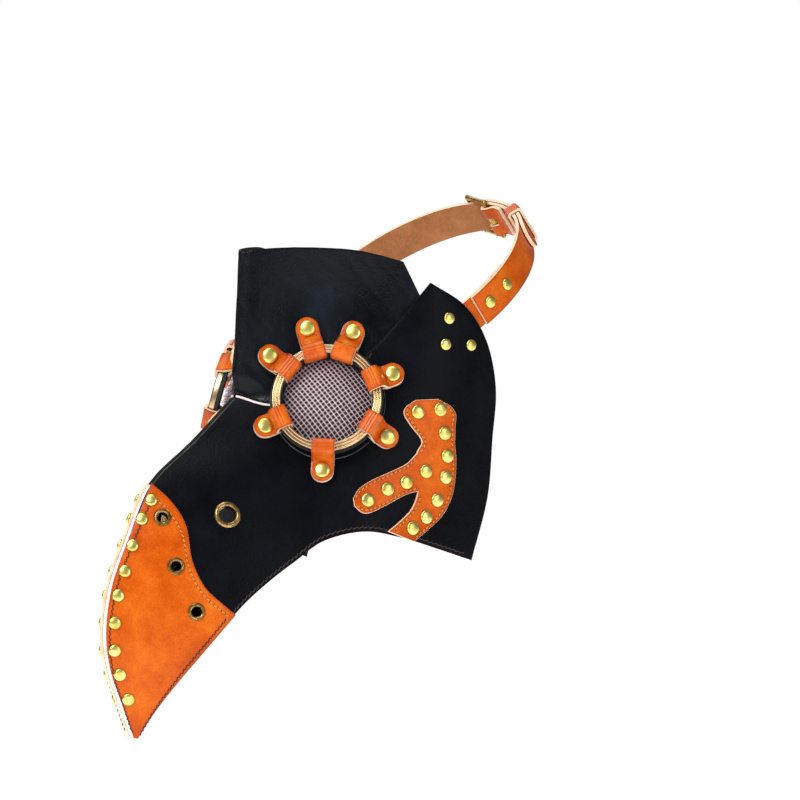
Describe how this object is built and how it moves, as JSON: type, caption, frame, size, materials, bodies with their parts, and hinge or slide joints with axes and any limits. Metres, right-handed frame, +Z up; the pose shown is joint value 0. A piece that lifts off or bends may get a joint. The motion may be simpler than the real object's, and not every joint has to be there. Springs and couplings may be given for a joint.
{
  "type": "plague doctor mask",
  "caption": "Long-beaked leather face mask with ring-and-mesh eyes in riveted leather loops, studded orange trim and a buckled head strap.",
  "frame": {"origin": "top of the nose bridge on the mid-plane, where the two side leathers' ridge ends below the brow; the mask bears on the wearer's nose and face behind it", "axes": "+Z up, the mask faces -Y, the wearer's left is +X"},
  "size_m": [0.1614, 0.3089, 0.3201],
  "materials": {
    "black_leather": "smooth finished black cowhide, satin",
    "orange_leather": "tan-orange dyed leather with a raw edge, satin",
    "wire_mesh": "plain-woven steel wire",
    "dark_lens": "dark red-brown translucent sheet",
    "black_washer": "matte black",
    "black_plastic": "matte black moulded",
    "aged_brass": "antiqued, darker in the grooves",
    "eyelet_brass": "antiqued, polished on the rim",
    "buckle_brass": "antiqued, satin",
    "stud_brass": "polished caps"
  },
  "bodies": {
    "mask": {"side_panel_left": "black_leather", "side_panel_right": "black_leather", "brow_panel": "black_leather", "beak_gusset": "black_leather", "beak_patch_left": "orange_leather", "beak_patch_right": "orange_leather", "beak_studs_left": "stud_brass", "beak_studs_right": "stud_brass", "small_eyelets_left": "eyelet_brass", "small_eyelets_right": "eyelet_brass", "large_eyelet_left": "eyelet_brass", "large_eyelet_right": "eyelet_brass", "cheek_patch_left": "orange_leather", "cheek_patch_right": "orange_leather", "cheek_studs_left": "stud_brass", "cheek_studs_right": "stud_brass", "eye_collar_left": "black_leather", "eye_collar_right": "black_leather", "eye_washer_left": "black_washer", "eye_washer_right": "black_washer", "eye_ring_left": "aged_brass", "eye_ring_right": "aged_brass", "eye_mesh_left": "wire_mesh", "eye_mesh_right": "wire_mesh", "eye_lens_left": "dark_lens", "eye_lens_right": "dark_lens", "eye_retainer_left": "black_plastic", "eye_retainer_right": "black_plastic", "eye_loops_left": "orange_leather", "eye_loops_right": "orange_leather", "loop_rivets_left": "stud_brass", "loop_rivets_right": "stud_brass", "temple_tab_left": "orange_leather", "temple_tab_right": "orange_leather", "temple_rivets_left": "stud_brass", "temple_rivets_right": "stud_brass", "strap_left": "orange_leather", "strap_right": "orange_leather", "strap_rivets_left": "stud_brass", "strap_rivets_right": "stud_brass"},
    "buckle": {"buckle_frame": "buckle_brass"},
    "prong": {"buckle_prong": "buckle_brass"},
    "keeper": {"strap_keeper": "orange_leather"}
  },
  "joints": [
    {"name": "buckle_hinge", "type": "hinge", "parent": "mask", "child": "buckle", "pos_m": [0.00776, 0.19415, 0.10483], "axis": [0, 0.6157, -0.788], "range_deg": [0, 25]},
    {"name": "prong_hinge", "type": "hinge", "parent": "buckle", "child": "prong", "pos_m": [0.00776, 0.19415, 0.10483], "axis": [0, 0.6157, -0.788], "range_deg": [0, 20]},
    {"name": "keeper_slide", "type": "hinge", "parent": "mask", "child": "keeper", "pos_m": [0, 0.136, 0.0594], "axis": [0, -0.6157, 0.788], "range_deg": [-4.5, 4.5]}
  ]
}
